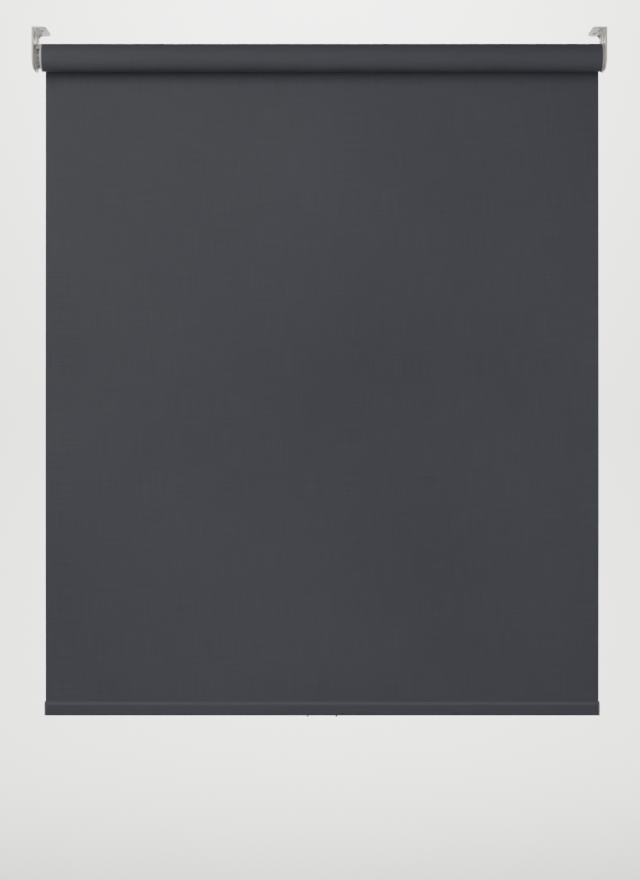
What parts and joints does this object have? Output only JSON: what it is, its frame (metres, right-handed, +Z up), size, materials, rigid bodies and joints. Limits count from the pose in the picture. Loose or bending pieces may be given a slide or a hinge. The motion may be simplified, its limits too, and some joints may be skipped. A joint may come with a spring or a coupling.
{
  "type": "roller blind",
  "caption": "Roller blind, lowered: fabric wound on a tube between two end brackets, a chain-wheel drive with a wrap-spring brake, a sprung idle pin, and a bar in the hem.",
  "frame": {"origin": "midway between the outer faces of the two brackets, on the ceiling plane that their top faces touch, straight above the roller's axis", "axes": "+X along the roller from the drive end to the idle end, +Y from the room towards the window, +Z up"},
  "size_m": [0.838, 0.056, 1.0135],
  "materials": {
    "white_plastic": "moulded, satin",
    "grey_plastic": "moulded, satin",
    "aluminium": "extruded, plain",
    "zinc_steel": "zinc plated",
    "spring_steel": "drawn wire",
    "charcoal_cloth": "fine plain weave, matt",
    "charcoal_plastic": "moulded, satin"
  },
  "bodies": {
    "brackets": {"control_bracket": "white_plastic", "idle_bracket": "white_plastic", "chain_guard": "white_plastic", "clutch_core": "grey_plastic", "core_washer": "zinc_steel", "core_screw": "zinc_steel", "fabric_sheet": "charcoal_cloth"},
    "roller": {"drive_hub": "grey_plastic", "tube_adapter": "grey_plastic", "clutch_spring_near": "spring_steel", "clutch_spring_far": "spring_steel", "roller_tube": "aluminium", "fabric_strip": "grey_plastic", "fabric_roll": "charcoal_cloth", "idle_plug": "grey_plastic", "idle_spring": "spring_steel", "idle_cap": "grey_plastic"},
    "chain_wheel": {"chain_sprocket": "white_plastic"},
    "sprung_pin": {"idle_pin": "zinc_steel"},
    "hem": {"hem_pocket": "charcoal_cloth", "bottom_bar": "aluminium", "bar_cap_left": "charcoal_plastic", "bar_cap_right": "charcoal_plastic", "bar_foot_left": "charcoal_plastic", "bar_foot_right": "charcoal_plastic"}
  },
  "joints": [
    {"name": "roller_spin", "type": "hinge", "parent": "brackets", "child": "roller", "pos_m": [0, 0, -0.04], "axis": [1, 0, 0], "range_deg": [0, 2403]},
    {"name": "chain_wheel_spin", "type": "hinge", "parent": "brackets", "child": "chain_wheel", "pos_m": [0, 0, -0.04], "axis": [1, 0, 0], "range_deg": [0, 2403]},
    {"name": "bar_lift", "type": "slide", "parent": "brackets", "child": "hem", "axis": [0, 0, 1], "range_m": [0, 0.9262], "deforming": ["fabric_sheet"]},
    {"name": "idle_pin_press", "type": "slide", "parent": "roller", "child": "sprung_pin", "axis": [-1, 0, 0], "range_m": [0, 0.004], "stiffness_N_per_m": 600, "springref_m": -0.005, "deforming": ["idle_spring"]}
  ],
  "couplings": [
    {"joint": "chain_wheel_spin", "follows": "roller_spin", "ratio": 1},
    {"joint": "bar_lift", "follows": "roller_spin", "m_per_rad": 0.02208}
  ]
}
